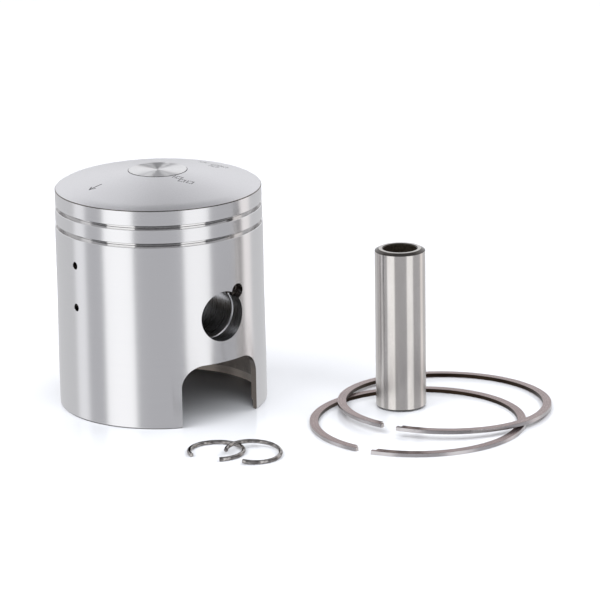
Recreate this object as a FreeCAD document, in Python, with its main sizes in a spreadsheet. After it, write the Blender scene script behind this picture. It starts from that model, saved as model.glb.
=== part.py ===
import FreeCAD, Part
import math
import os

import Sketcher

# A two-stroke piston kit, in millimetres: the piston, its two split rings, its hollow wrist pin,
# the two wire circlips that keep the pin in, and the two small pegs that stop the rings turning.
# The loose pieces stand and lie beside the piston on the surface that its skirt stands on.
#
# The origin is the middle of the pin bore, on the piston's axis. +Z points to the crown,
# the pin bore runs along Y, and +X is the exhaust side, where the crown's arrow points.

DIMENSIONS = {
    # piston, outside
    "bore_diameter": 66.5,
    "guide_diameter": 66.0,
    "second_land_diameter": 65.7,
    "top_land_diameter": 65.5,
    "compression_height": 36.0,
    "skirt_length": 34.5,
    "skirt_full_height": 12.0,
    "guide_low_height": 38.0,
    "edge_break": 0.5,
    # crown
    "shoulder_width": 3.0,
    "shoulder_rise": 1.5,
    "shoulder_radius": 9.0,
    "disc_diameter": 18.5,
    "dome_rise": 5.14,
    "disc_step": 0.15,
    # ring grooves
    "top_land": 4.75,
    "second_land": 4.35,
    "groove_width": 1.25,
    "groove_floor_diameter": 60.2,
    "groove_edge": 0.12,
    # piston, inside
    "skirt_wall": 2.3,
    "register_wall": 1.7,
    "register_height": 2.5,
    "belt_inner_diameter": 53.6,
    "belt_taper_low": 6.0,
    "belt_taper_high": 18.0,
    "roof_edge_height": 24.0,
    "roof_corner_radius": 7.0,
    "roof_height": 34.0,
    "boss_gap": 24.0,
    "boss_diameter": 26.0,
    "boss_end": 31.6,
    "boss_web_top": 33.0,
    # openings in the skirt
    "window_half_width": 14.7,
    "window_height": 19.75,
    "window_corner": 7.0,
    "oil_hole_diameter": 2.4,
    "oil_hole_high": 15.7,
    "oil_hole_low": 2.1,
    # wrist pin and its bore
    "pin_diameter": 16.0,
    "pin_clearance": 0.015,
    "pin_length": 52.0,
    "pin_hollow_diameter": 10.8,
    "pin_chamfer_across": 1.3,
    "pin_chamfer_along": 0.7,
    "pin_hollow_edge": 0.3,
    # circlips and their grooves
    "clip_wire": 1.3,
    "clip_free_diameter": 18.1,
    "clip_gap_angle": 70.0,
    "clip_groove_depth": 0.8,
    "clip_groove_wire": 1.4,
    "clip_groove_place": 26.8,
    "notch_radius": 2.2,
    "notch_across": 6.0,
    "notch_up": 7.05,
    "notch_floor": 26.0,
    # rings and their pegs
    "ring_thickness": 1.2,
    "ring_width": 2.7,
    "ring_edge": 0.1,
    "ring_closed_gap": 0.3,
    "ring_free_gap": 5.0,
    "ring_notch_length": 1.2,
    "ring_notch_depth": 1.5,
    "peg_diameter": 2.0,
    "peg_depth": 2.5,
    "peg_stand": 1.3,
    # crown arrow
    "arrow_tail": 20.5,
    "arrow_head": 23.6,
    "arrow_tip": 25.6,
    "arrow_side": -1.75,
    "arrow_half_shaft": 0.3,
    "arrow_half_head": 1.1,
    "engraving_depth": 0.25,
    # places of the loose pieces, measured from the piston's axis
    "wrist_pin_x": -52.2,
    "wrist_pin_y": 56.7,
    "top_ring_x": -44.4,
    "top_ring_y": 74.0,
    "top_ring_gap_direction": 20.0,
    "second_ring_x": -61.0,
    "second_ring_y": 67.6,
    "second_ring_gap_direction": 18.4,
    "second_ring_tilt": 1.88,
    "second_ring_low_direction": 201.2,
    "front_circlip_x": 21.1,
    "front_circlip_y": 55.5,
    "front_circlip_gap_direction": 24.0,
    "rear_circlip_x": 14.3,
    "rear_circlip_y": 65.3,
    "rear_circlip_gap_direction": -6.0,
    "rear_circlip_tilt": 4.75,
    "rear_circlip_low_direction": 86.6,
    "top_peg_direction": 160.0,
    "second_peg_direction": 200.0,
}

SHEET = "Dimensions"

# how far every cut runs past the surface that it leaves by
OVERRUN = 1.0


class Size:
    """A number and the spreadsheet expression it comes from, kept together through arithmetic."""

    def __init__(self, value, text):
        self.value = value
        self.text = text

    def joined(self, other, sign, value):
        other_text = other.text if isinstance(other, Size) else repr(other)
        return Size(value, f"({self.text} {sign} {other_text})")

    def __add__(self, other):
        return self.joined(other, "+", self.value + number(other))

    def __sub__(self, other):
        return self.joined(other, "-", self.value - number(other))

    def __mul__(self, other):
        return self.joined(other, "*", self.value * number(other))

    def __truediv__(self, other):
        return self.joined(other, "/", self.value / number(other))

    def __neg__(self):
        return Size(-self.value, f"(0 - {self.text})")


def number(size):
    return size.value if isinstance(size, Size) else float(size)


def root(size):
    return Size(math.sqrt(size.value), f"sqrt({size.text})")


def make_sheet(document):
    """The driving dimensions, one row each: name, value, with the name as the cell's alias."""
    sheet = document.addObject("Spreadsheet::Sheet", SHEET)
    for row, (alias, value) in enumerate(DIMENSIONS.items(), start=1):
        sheet.set(f"A{row}", alias)
        sheet.set(f"B{row}", str(value))
        sheet.setAlias(f"B{row}", alias)
    document.recompute()
    return sheet


def dimension(alias):
    return Size(DIMENSIONS[alias], f"{SHEET}.{alias}")


def bind(thing, place, size):
    """Tie a property or sketch constraint to the spreadsheet; a plain number is simply set."""
    if isinstance(size, Size):
        thing.setExpression(place, size.text)
    else:
        setattr(thing, place, size)


# ---------------------------------------------------------------- sketches

def origin_plane(body, role):
    return next(item for item in body.Origin.OriginFeatures if item.Role == role)


def new_sketch(body, name, role, offset=0):
    """A sketch on one of the body's own planes, moved along the plane's normal by offset."""
    sketch = body.newObject("Sketcher::SketchObject", name)
    sketch.AttachmentSupport = (origin_plane(body, role), [""])
    sketch.MapMode = "FlatFace"
    bind_offset(sketch, offset)
    return sketch


def bind_offset(sketch, offset):
    if isinstance(offset, Size):
        sketch.AttachmentOffset = FreeCAD.Placement(FreeCAD.Vector(0, 0, offset.value), FreeCAD.Rotation())
        sketch.setExpression("AttachmentOffset.Base.z", offset.text)


def constrain(sketch, kind, places, size):
    """Add a dimension to the sketch and bind it to its expression."""
    index = sketch.addConstraint(Sketcher.Constraint(kind, *places, number(size)))
    if isinstance(size, Size):
        sketch.setExpression(f"Constraints[{index}]", size.text)


def pin_point(sketch, curve, end, across, up):
    """Hold one end or centre of a curve at (across, up) from the sketch's origin."""
    for kind, axis, size in (("DistanceX", -2, across), ("DistanceY", -1, up)):
        if number(size) == 0:
            sketch.addConstraint(Sketcher.Constraint("PointOnObject", curve, end, axis))
        else:
            constrain(sketch, kind, (-1, 1, curve, end), size)


def arc_between(start, end, radius, side):
    """The arc from start to end that bulges to the left (side 1) or right (side -1) of the way."""
    chord = end - start
    reach = math.sqrt(radius ** 2 - (chord.Length / 2) ** 2)
    left = FreeCAD.Vector(-chord.y, chord.x, 0).normalize()
    centre = (start + end) / 2 - left * side * reach
    circle = Part.Circle(centre, FreeCAD.Vector(0, 0, 1), radius)
    first, last = (start, end) if side < 0 else (end, start)
    return Part.ArcOfCircle(circle, circle.parameter(first), circle.parameter(last))


def draw_outline(sketch, corners):
    """A closed outline. A corner is (across, up) or (across, up, radius, side), and then the
    side that leaves it is an arc, which bulges left (1) or right (-1) of the way round."""
    points = [FreeCAD.Vector(number(corner[0]), number(corner[1]), 0) for corner in corners]
    ends = []
    for index, corner in enumerate(corners):
        start, end = points[index], points[(index + 1) % len(points)]
        if len(corner) == 2:
            curve = sketch.addGeometry(Part.LineSegment(start, end))
            ends.append((curve, 1, 2))
        else:
            radius, side = corner[2], corner[3]
            curve = sketch.addGeometry(arc_between(start, end, number(radius), side))
            ends.append((curve, 1, 2) if side < 0 else (curve, 2, 1))
    for index, (curve, _, tail) in enumerate(ends):
        follower, head, _ = ends[(index + 1) % len(ends)]
        sketch.addConstraint(Sketcher.Constraint("Coincident", curve, tail, follower, head))
    for (curve, head, _), corner in zip(ends, corners):
        pin_point(sketch, curve, head, corner[0], corner[1])
        if len(corner) > 2:
            constrain(sketch, "Radius", (curve,), corner[2])
    return sketch


def draw_circle(sketch, across, up, radius):
    centre = FreeCAD.Vector(number(across), number(up), 0)
    curve = sketch.addGeometry(Part.Circle(centre, FreeCAD.Vector(0, 0, 1), number(radius)))
    pin_point(sketch, curve, 3, across, up)
    constrain(sketch, "Radius", (curve,), radius)
    return sketch


# ---------------------------------------------------------------- features

def new_body(document, label):
    body = document.addObject("PartDesign::Body", label)
    body.Label = label
    return body


def turn(body, name, sketch, axis, angle=360.0, cut=False):
    """Revolve a sketch about its own vertical or horizontal axis, half the angle each way."""
    kind = "PartDesign::Groove" if cut else "PartDesign::Revolution"
    feature = body.newObject(kind, name)
    feature.Profile = sketch
    feature.ReferenceAxis = (sketch, [axis])
    feature.Midplane = True
    bind(feature, "Angle", angle)
    return feature


def extrude(body, name, sketch, length, cut=False, both_ways=False, backwards=False):
    feature = body.newObject("PartDesign::Pocket" if cut else "PartDesign::Pad", name)
    feature.Profile = sketch
    bind(feature, "Length", length)
    feature.SideType = "Symmetric" if both_ways else "One side"
    feature.Reversed = backwards
    return feature


def mirror(body, name, original, role):
    feature = body.newObject("PartDesign::Mirrored", name)
    feature.Originals = [original]
    feature.MirrorPlane = (origin_plane(body, role), [""])
    body.Tip = feature
    return feature


# ---------------------------------------------------------------- piston

def dome_circle():
    """Height of the crown dome's centre, and the dome's radius, from the two rims it joins."""
    outer = dimension("top_land_diameter") / 2 - dimension("shoulder_width")
    outer_height = dimension("compression_height") + dimension("shoulder_rise")
    inner = dimension("disc_diameter") / 2
    inner_height = dimension("compression_height") + dimension("dome_rise")
    squares = outer * outer + outer_height * outer_height - inner * inner - inner_height * inner_height
    centre = squares / ((outer_height - inner_height) * 2)
    radius = root(inner * inner + (inner_height - centre) * (inner_height - centre))
    return centre, radius


def groove_heights():
    """The middle heights of the top and the second ring groove."""
    first = dimension("compression_height") - dimension("top_land") - dimension("groove_width") / 2
    return first, first - dimension("groove_width") - dimension("second_land")


def across_piston():
    """Long enough to cut through the whole piston, measured across its middle."""
    return dimension("bore_diameter") + OVERRUN * 2


def turned_side():
    """The piston's outside, from the crown's edge down over the lands to the foot of the skirt."""
    foot = -dimension("skirt_length")
    top_land = dimension("top_land_diameter") / 2
    second_land = dimension("second_land_diameter") / 2
    guide = dimension("guide_diameter") / 2
    skirt = dimension("bore_diameter") / 2
    first_groove, second_groove = groove_heights()
    return [
        (top_land, dimension("compression_height")),
        (top_land, first_groove),
        (second_land, first_groove),
        (second_land, second_groove),
        (guide, second_groove),
        (guide, foot + dimension("guide_low_height")),
        (skirt, foot + dimension("skirt_full_height")),
        (skirt, foot + dimension("edge_break")),
    ]


def piston_section():
    """Half of the piston's section, from the axis out over the crown, down the skirt and back inside."""
    foot = -dimension("skirt_length")
    edge = dimension("edge_break")
    crown = dimension("compression_height")
    disc = dimension("disc_diameter") / 2
    dome_top = crown + dimension("dome_rise")
    top_land = dimension("top_land_diameter") / 2
    skirt = dimension("bore_diameter") / 2
    inside = skirt - dimension("skirt_wall")
    belt = dimension("belt_inner_diameter") / 2
    corner = dimension("roof_corner_radius")
    roof_edge = dimension("roof_edge_height")
    roof = dimension("roof_height")
    _, dome = dome_circle()
    return [
        (0, dome_top + dimension("disc_step")),
        (disc, dome_top + dimension("disc_step")),
        (disc, dome_top, dome, 1),
        (top_land - dimension("shoulder_width"), crown + dimension("shoulder_rise"),
         dimension("shoulder_radius"), 1),
        *turned_side(),
        (skirt - edge, foot),
        (skirt - dimension("register_wall"), foot),
        (skirt - dimension("register_wall"), foot + dimension("register_height")),
        (inside, foot + dimension("register_height") + edge),
        (inside, dimension("belt_taper_low")),
        (belt, dimension("belt_taper_high")),
        (belt, roof_edge, corner, -1),
        (belt - corner, roof_edge + corner),
        (0, roof),
    ]


def ring_groove_section(middle, land):
    """One ring groove with its edges broken, cut past the land's surface."""
    half = dimension("groove_width") / 2
    edge = dimension("groove_edge")
    floor = dimension("groove_floor_diameter") / 2
    clear = land + OVERRUN
    wide = half + edge + OVERRUN
    return [
        (floor, middle - half),
        (land - edge, middle - half),
        (clear, middle - wide),
        (clear, middle + wide),
        (land - edge, middle + half),
        (floor, middle + half),
    ]


def add_bosses(body):
    """A boss round the pin bore on each side, tied to the crown by a web as wide as the boss.
    They run past the skirt, and turning the outside takes off what stands out of it."""
    half = dimension("boss_diameter") / 2
    top = dimension("boss_web_top")
    sketch = new_sketch(body, "boss_outline", "XZ_Plane", dimension("boss_gap") / 2)
    draw_outline(sketch, [(-half, 0, half, -1), (0, -half, half, -1), (half, 0), (half, top), (-half, top)])
    length = dimension("boss_end") - dimension("boss_gap") / 2
    mirror(body, "other_boss", extrude(body, "boss", sketch, length), "XZ_Plane")

    side = turned_side()
    far = dimension("bore_diameter") / 2 + OVERRUN * 2
    sketch = new_sketch(body, "outside_section", "XZ_Plane")
    draw_outline(sketch, [*side, (far, side[-1][1]), (far, side[0][1])])
    turn(body, "outside_turning", sketch, "V_Axis", cut=True)


def cut_ring_grooves(body):
    lands = dimension("top_land_diameter") / 2, dimension("second_land_diameter") / 2
    for name, middle, land in zip(("top_groove", "second_groove"), groove_heights(), lands):
        sketch = new_sketch(body, f"{name}_section", "XZ_Plane")
        draw_outline(sketch, ring_groove_section(middle, land))
        turn(body, name, sketch, "V_Axis", cut=True)


def cut_pin_bore(body):
    """The bore through both bosses, the circlip groove near each mouth and the removal notches."""
    bore = dimension("pin_diameter") / 2 + dimension("pin_clearance")
    sketch = draw_circle(new_sketch(body, "bore_circle", "XZ_Plane"), 0, 0, bore)
    extrude(body, "pin_bore", sketch, across_piston(), cut=True, both_ways=True)

    wire = dimension("clip_groove_wire") / 2
    middle = bore + dimension("clip_groove_depth") - wire
    place = dimension("clip_groove_place")
    sketch = new_sketch(body, "clip_groove_section", "YZ_Plane")
    for across in (place, -place):
        draw_circle(sketch, across, middle, wire)
    turn(body, "clip_grooves", sketch, "H_Axis", cut=True)

    sketch = new_sketch(body, "notch_circle", "XZ_Plane", dimension("notch_floor"))
    draw_circle(sketch, -dimension("notch_across"), dimension("notch_up"), dimension("notch_radius"))
    depth = dimension("bore_diameter") / 2 - dimension("notch_floor") + OVERRUN
    notch = extrude(body, "removal_notch", sketch, depth, cut=True, backwards=True)
    mirror(body, "other_removal_notch", notch, "XZ_Plane")


def cut_skirt_openings(body):
    """The cut-out under each boss and the two oil holes on the exhaust side."""
    half = dimension("window_half_width")
    corner = dimension("window_corner")
    foot = -dimension("skirt_length")
    top = foot + dimension("window_height")
    below = foot - OVERRUN
    sketch = new_sketch(body, "window_outline", "XZ_Plane")
    draw_outline(sketch, [
        (-half, below),
        (half, below),
        (half, top - corner, corner, -1),
        (half - corner, top),
        (corner - half, top, corner, -1),
        (-half, top - corner),
    ])
    extrude(body, "windows", sketch, across_piston(), cut=True, both_ways=True)

    sketch = new_sketch(body, "oil_hole_circles", "YZ_Plane")
    for up in (dimension("oil_hole_high"), dimension("oil_hole_low")):
        draw_circle(sketch, 0, up, dimension("oil_hole_diameter") / 2)
    extrude(body, "oil_holes", sketch, dimension("bore_diameter"), cut=True, backwards=True)


def radial_placement(direction, distance, height):
    """Where a radial pin starts: its own axis points away from the piston's axis."""
    turned = FreeCAD.Rotation(FreeCAD.Vector(0, 0, 1), direction)
    tipped = FreeCAD.Rotation(FreeCAD.Vector(0, 1, 0), 90)
    base = turned.multVec(FreeCAD.Vector(distance, 0, height))
    return FreeCAD.Placement(base, turned.multiply(tipped))


def peg_places():
    """Each peg's name, direction, height, and how far from the axis it starts."""
    start = dimension("groove_floor_diameter") / 2 - dimension("peg_depth")
    directions = DIMENSIONS["top_peg_direction"], DIMENSIONS["second_peg_direction"]
    return [
        (name, direction, height.value, start.value)
        for name, direction, height in zip(("top", "second"), directions, groove_heights())
    ]


def cut_peg_holes(body):
    for name, direction, height, start in peg_places():
        hole = body.newObject("PartDesign::SubtractiveCylinder", f"{name}_peg_hole")
        bind(hole, "Radius", dimension("peg_diameter") / 2)
        bind(hole, "Height", dimension("peg_depth") + dimension("peg_stand"))
        hole.Placement = radial_placement(direction, start, height)


def make_engraving(document):
    """The crown's arrow as a tool: a prism, less the ball that leaves it the engraving's depth."""
    crown = dimension("compression_height")
    sketch = document.addObject("Sketcher::SketchObject", "arrow_outline")
    sketch.Placement = FreeCAD.Placement(FreeCAD.Vector(0, 0, crown.value), FreeCAD.Rotation())
    sketch.setExpression("Placement.Base.z", crown.text)
    tail, head, tip = (dimension(f"arrow_{place}") for place in ("tail", "head", "tip"))
    shaft, barb, side = (dimension(f"arrow_{part}") for part in ("half_shaft", "half_head", "side"))
    draw_outline(sketch, [
        (tail, side - shaft), (head, side - shaft), (head, side - barb), (tip, side),
        (head, side + barb), (head, side + shaft), (tail, side + shaft),
    ])
    prism = document.addObject("Part::Extrusion", "arrow_prism")
    prism.Base = sketch
    prism.Dir = (0, 0, 1)
    prism.DirMode = "Custom"
    prism.Solid = True
    bind(prism, "LengthFwd", dimension("dome_rise") + OVERRUN)

    centre, radius = dome_circle()
    ball = document.addObject("Part::Sphere", "dome_ball")
    bind(ball, "Radius", radius - dimension("engraving_depth"))
    ball.setExpression("Placement.Base.z", centre.text)

    tool = document.addObject("Part::Cut", "arrow_engraving")
    tool.Base = prism
    tool.Tool = ball
    return tool


def make_piston_body(document):
    blank = new_body(document, "piston_blank")
    section = draw_outline(new_sketch(blank, "piston_section", "XZ_Plane"), piston_section())
    turn(blank, "turned_blank", section, "V_Axis")
    add_bosses(blank)
    cut_ring_grooves(blank)
    cut_pin_bore(blank)
    cut_skirt_openings(blank)
    cut_peg_holes(blank)

    piston = document.addObject("Part::Cut", "piston_body")
    piston.Label = "piston_body"
    piston.Base = blank
    piston.Tool = make_engraving(document)
    return piston


def make_pegs(document):
    pegs = []
    for name, direction, height, start in peg_places():
        peg = document.addObject("Part::Cylinder", f"{name}_ring_peg")
        peg.Label = f"{name}_ring_peg"
        bind(peg, "Radius", dimension("peg_diameter") / 2)
        bind(peg, "Height", dimension("peg_depth") + dimension("peg_stand"))
        peg.Placement = radial_placement(direction, start, height)
        pegs.append(peg)
    return pegs


# ---------------------------------------------------------------- loose pieces

def laid_placement(x, y, height, spin=0.0, tilt=0.0, low_direction=0.0):
    """A piece turned by spin about its axis, then tilted so that low_direction goes down."""
    spun = FreeCAD.Rotation(FreeCAD.Vector(0, 0, 1), spin)
    across = FreeCAD.Rotation(FreeCAD.Vector(0, 0, 1), low_direction + 90).multVec(FreeCAD.Vector(1, 0, 0))
    tilted = FreeCAD.Rotation(across, tilt)
    return FreeCAD.Placement(FreeCAD.Vector(x, y, height), tilted.multiply(spun))


def lay(piece, name, tilt=0.0, low_direction=0.0, rise=0.0):
    """Put a piece at its place from the spreadsheet, rise above the surface it all stands on."""
    spin = DIMENSIONS.get(f"{name}_gap_direction", 0.0)
    height = rise - DIMENSIONS["skirt_length"]
    x, y = DIMENSIONS[f"{name}_x"], DIMENSIONS[f"{name}_y"]
    piece.Placement = laid_placement(x, y, height, spin, tilt, low_direction)
    return piece


def make_wrist_pin(document):
    """A hollow pin with a long shallow chamfer outside each end, standing on its lower end."""
    body = new_body(document, "wrist_pin")
    outer = dimension("pin_diameter") / 2
    inner = dimension("pin_hollow_diameter") / 2
    length = dimension("pin_length")
    across, along = dimension("pin_chamfer_across"), dimension("pin_chamfer_along")
    edge = dimension("pin_hollow_edge")
    section = new_sketch(body, "pin_section", "XZ_Plane")
    draw_outline(section, [
        (inner, edge), (inner + edge, 0), (outer - across, 0), (outer, along),
        (outer, length - along), (outer - across, length), (inner + edge, length), (inner, length - edge),
    ])
    turn(body, "turned_pin", section, "V_Axis")
    return lay(body, "wrist_pin")


def ring_free_radius():
    """A ring is as long round as its closed self, so its free gap sets its free diameter."""
    opened = dimension("ring_free_gap") - dimension("ring_closed_gap")
    return dimension("bore_diameter") / 2 + opened / (2 * math.pi)


def wedge(reach, half_length, radius):
    """A triangle from the axis out along +X, half_length wide each way where it meets radius."""
    side = half_length * reach / radius
    return [(0, 0), (reach, -side), (reach, side)]


def make_ring(document, name, tilt=0.0, low_direction=0.0):
    """A split ring in its free state, with half of the peg's notch inside each end."""
    body = new_body(document, name)
    outer = ring_free_radius()
    inner = outer - dimension("ring_width")
    middle = outer - dimension("ring_width") / 2
    thick = dimension("ring_thickness")
    edge = dimension("ring_edge")
    section = new_sketch(body, f"{name}_section", "XZ_Plane")
    draw_outline(section, [
        (inner + edge, 0), (outer - edge, 0), (outer, edge), (outer, thick - edge),
        (outer - edge, thick), (inner + edge, thick), (inner, thick - edge), (inner, edge),
    ])
    turn(body, f"{name}_hoop", section, "V_Axis")

    half_gap = dimension("ring_free_gap") / 2
    sketch = new_sketch(body, f"{name}_gap_outline", "XY_Plane")
    draw_outline(sketch, wedge(outer + OVERRUN, half_gap, middle))
    through = (thick + OVERRUN) * 2
    extrude(body, f"{name}_gap", sketch, through, cut=True, both_ways=True)

    half = half_gap + dimension("ring_notch_length")
    notched = inner + dimension("ring_notch_depth")
    reach = root(notched * notched - half * half)
    inside = inner - OVERRUN
    sketch = new_sketch(body, f"{name}_notch_outline", "XY_Plane")
    draw_outline(sketch, [(inside, -half), (reach, -half), (reach, half), (inside, half)])
    extrude(body, f"{name}_notches", sketch, through, cut=True, both_ways=True)

    rise = outer.value * math.sin(math.radians(tilt))
    return lay(body, name, tilt, low_direction, rise)


def make_circlip(document, name, tilt=0.0, low_direction=0.0):
    """A round-wire C-clip in its free state, its gap centred on its own +X."""
    body = new_body(document, name)
    wire = dimension("clip_wire") / 2
    middle = dimension("clip_free_diameter") / 2 - wire
    section = draw_circle(new_sketch(body, f"{name}_wire", "XZ_Plane"), -middle, 0, wire)
    turn(body, f"{name}_bend", section, "V_Axis", angle=-dimension("clip_gap_angle") + 360.0)

    rise = wire.value + middle.value * math.sin(math.radians(tilt))
    return lay(body, name, tilt, low_direction, rise)


# ---------------------------------------------------------------- checks and files

def check(document, pieces):
    for item in document.Objects:
        if "Invalid" in item.State or "Error" in item.State:
            raise RuntimeError(f"{item.Name} failed: {item.State}")
    for piece in pieces:
        if piece.Shape.isNull() or not piece.Shape.isValid():
            raise RuntimeError(f"{piece.Label} has no valid shape")


def write(pieces):
    os.makedirs("parts", exist_ok=True)
    for piece in pieces:
        piece.Shape.exportStep(f"parts/{piece.Label}.step")
        print(f"{piece.Label}: {piece.Shape.Volume:.1f} mm3, {len(piece.Shape.Solids)} solid")


def main():
    document = FreeCAD.newDocument("PistonKit")
    make_sheet(document)
    pieces = [make_piston_body(document), *make_pegs(document), make_wrist_pin(document)]
    pieces.append(make_ring(document, "top_ring"))
    pieces.append(make_ring(document, "second_ring", DIMENSIONS["second_ring_tilt"],
                            DIMENSIONS["second_ring_low_direction"]))
    pieces.append(make_circlip(document, "front_circlip"))
    pieces.append(make_circlip(document, "rear_circlip", DIMENSIONS["rear_circlip_tilt"],
                               DIMENSIONS["rear_circlip_low_direction"]))
    document.recompute()
    check(document, pieces)
    write(pieces)


main()
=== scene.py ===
"""The looks of a two-stroke piston kit: piston, wrist pin, rings and circlips, laid out on a table."""
import math

import bmesh
import bpy
from mathutils import Matrix, Vector


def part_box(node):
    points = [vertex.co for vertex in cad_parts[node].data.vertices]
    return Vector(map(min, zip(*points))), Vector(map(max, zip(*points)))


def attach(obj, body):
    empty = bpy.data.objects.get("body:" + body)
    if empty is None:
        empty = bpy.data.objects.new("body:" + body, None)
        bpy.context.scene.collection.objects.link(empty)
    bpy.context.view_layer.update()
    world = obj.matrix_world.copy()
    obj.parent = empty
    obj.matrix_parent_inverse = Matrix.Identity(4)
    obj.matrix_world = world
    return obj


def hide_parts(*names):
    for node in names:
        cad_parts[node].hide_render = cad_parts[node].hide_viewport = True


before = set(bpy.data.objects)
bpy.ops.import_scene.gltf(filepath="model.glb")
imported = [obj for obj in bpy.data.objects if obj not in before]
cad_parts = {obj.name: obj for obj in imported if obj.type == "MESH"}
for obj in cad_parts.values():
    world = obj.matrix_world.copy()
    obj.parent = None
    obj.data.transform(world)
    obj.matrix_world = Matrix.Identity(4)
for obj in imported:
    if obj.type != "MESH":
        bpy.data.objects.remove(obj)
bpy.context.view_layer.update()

# All shapes below are worked out in millimetres and turned into metres when a mesh is made.
MM = 0.001

# ---------------------------------------------------------------- driving dimensions, in millimetres

# The piston's axis is Z. Its bands, bores and cavities are given by their radius, and the places along its
# axis by their height above the pin bore's centre.
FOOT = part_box("piston_body")[0].z / MM
CROWN_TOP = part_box("piston_body")[1].z / MM
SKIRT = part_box("piston_body")[1].x / MM
PAST_SKIRT = SKIRT + 3.0
BELOW_FOOT = FOOT - 3.0

# crown: a dome with a low shoulder round it, an edge break, and a centre spot faced with a coarse tool
CROWN_EDGE = 36.0
CROWN_BREAK = 0.21
CROWN_BREAK_SLOPE = 0.6
SHOULDER_WIDTH = 3.0
SHOULDER_RISE = 1.5
SHOULDER_RADIUS = 9.0
DISC = 9.25
DISC_STEP = 0.15
DISC_GROOVE = 0.2
DISC_EDGE = 0.05
DISC_PITCH = 0.37
DISC_RIDGE = 0.06
DISC_LEAN = 0.78

# side: three turned bands parted by the two ring grooves, then a skirt that widens downwards
TOP_LAND = 32.75
SECOND_LAND = 32.85
GUIDE = 33.0
GUIDE_LOW = FOOT + 38.0
SKIRT_FULL = FOOT + 12.0
FOOT_EDGE = 0.5
GROOVES = (30.625, 25.025)
GROOVE_WIDTH = 1.25
GROOVE_FLOOR = 30.1
GROOVE_EDGE = 0.12
EDGE_BEND = 0.05
CORNER_BEND = 0.15

# the pegs' blind holes: direction from the exhaust side in degrees, and height
PEG_HOLES = ((160.0, GROOVES[0]), (200.0, GROOVES[1]))
PEG_HOLE = 1.0
PEG_HOLE_REACH = (27.5, 31.5)

# cast inside: a round cavity that is narrower behind the ring grooves, and two bosses with webs over them
CAVITY = SKIRT - 2.3
CAVITY_FULL = 6.0
BELT = 26.8
BELT_LOW = 18.0
ROOF = 34.0
ROOF_EDGE = 31.0
ROOF_BEND = 7.0
BOSS = 13.0
BOSS_FACE = 12.0
BOSS_END = 36.0
CAST_GRAIN = 0.55
CAST_SOFTENING = 9
# how far softening can move the cast wall
CAST_PLAY = 1.0

# machined cuts
REGISTER = SKIRT - 1.7
REGISTER_HEIGHT = 2.5
REGISTER_LEAD = (0.3, 0.8)
WINDOW_HALF = 14.7
WINDOW_TOP = FOOT + 19.75
WINDOW_CORNER = 7.0
OIL_HOLE = 1.2
OIL_HOLE_HEIGHTS = (15.7, 2.1)
OIL_HOLE_CONE = 0.5
PIN_BORE = 8.015
CLIP_GROOVE_PLACE = 26.8
CLIP_GROOVE_DEPTH = 0.8
CLIP_GROOVE_BEND = 0.7

# the notch beside each mouth of the bore: centre x and z, and its steps as (radius, distance from the axis)
NOTCH_PLACE = (-6.0, 7.05)
NOTCH_STEPS = ((1.7, 26.0), (1.9, 26.3), (1.9, 27.3), (2.15, 27.5), (2.15, 28.5), (2.4, 28.7))
NOTCH = NOTCH_STEPS[-1][0]
NOTCH_FLOOR = NOTCH_STEPS[0][1]

# marks on the crown: rows of pen dots as (start x, start y, heading in degrees, glyphs)
MARK_ROWS = (
    (0.4, 10.0, 112.0, "bar square"),
    (1.0, 13.4, 120.0, "square square"),
    (-20.9, -4.4, 108.0, "square bar"),
    (-22.2, 0.4, 108.0, "square bar square"),
    (-19.6, 2.6, 108.0, "bar square"),
)
MARK_COLUMNS = {"square": 4, "bar": 1}
MARK_ROW_DOTS = 4
MARK_STEP = 0.6
MARK_GAP = 0.6
MARK_RADIUS = 0.25
MARK_RAISED = 0.15
ARROW_DEPTH = 0.25

# the wrist pin: its chamfer is (across, along), and its place is the centre of its foot
PIN = 8.0
PIN_LENGTH = 52.0
PIN_HOLLOW = 5.4
PIN_CHAMFER = (1.3, 0.7)
PIN_INSIDE_CHAMFER = 0.3
PIN_EDGE = 0.12
PIN_INSIDE_EDGE = 0.1
PIN_PLACE = (-52.2, 56.7)

# rings and circlips in their free state; a notch is (along the gap, across the ring)
CYLINDER = 33.25
RING_GAP = 5.0
RING_GAP_CLOSED = 0.3
RING_OUTER = CYLINDER + (RING_GAP - RING_GAP_CLOSED) / (2 * math.pi)
RING_WIDTH = 2.7
RING_THICK = 1.2
RING_EDGE = 0.1
RING_NOTCH = (1.2, 1.5)
CLIP_OUTER = 9.05
CLIP_WIRE = 0.65
CLIP_BEND = CLIP_OUTER - CLIP_WIRE
CLIP_GAP = 70.0
CLIP_RUBBED = 0.07
# how far along the rubbed end, and what is left of the wire's thickness there
CLIP_END = ((0.0, 0.87), (0.4, 0.96))

# where the loose pieces lie: centre x and y, direction of the gap, tilt, and the direction that is lowest
LAID = {
    "top_ring": (-44.4, 74.0, 20.0, 0.0, 0.0),
    "second_ring": (-61.0, 67.6, 18.4, 1.88, 201.2),
    "front_circlip": (21.1, 55.5, 24.0, 0.0, 0.0),
    "rear_circlip": (14.3, 65.3, -6.0, 4.75, 86.6),
}

# how many flat steps each round shape is drawn in
PISTON_STEPS = 480
CAST_STEPS = 180
BOSS_STEPS = 120
BORE_STEPS = 240
NOTCH_TURN_STEPS = 96
OIL_HOLE_STEPS = 64
PEG_HOLE_STEPS = 48
PIN_STEPS = 240
RING_STEPS = 420
CLIP_STEPS = 180
WIRE_STEPS = 28


# ---------------------------------------------------------------- outlines

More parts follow.
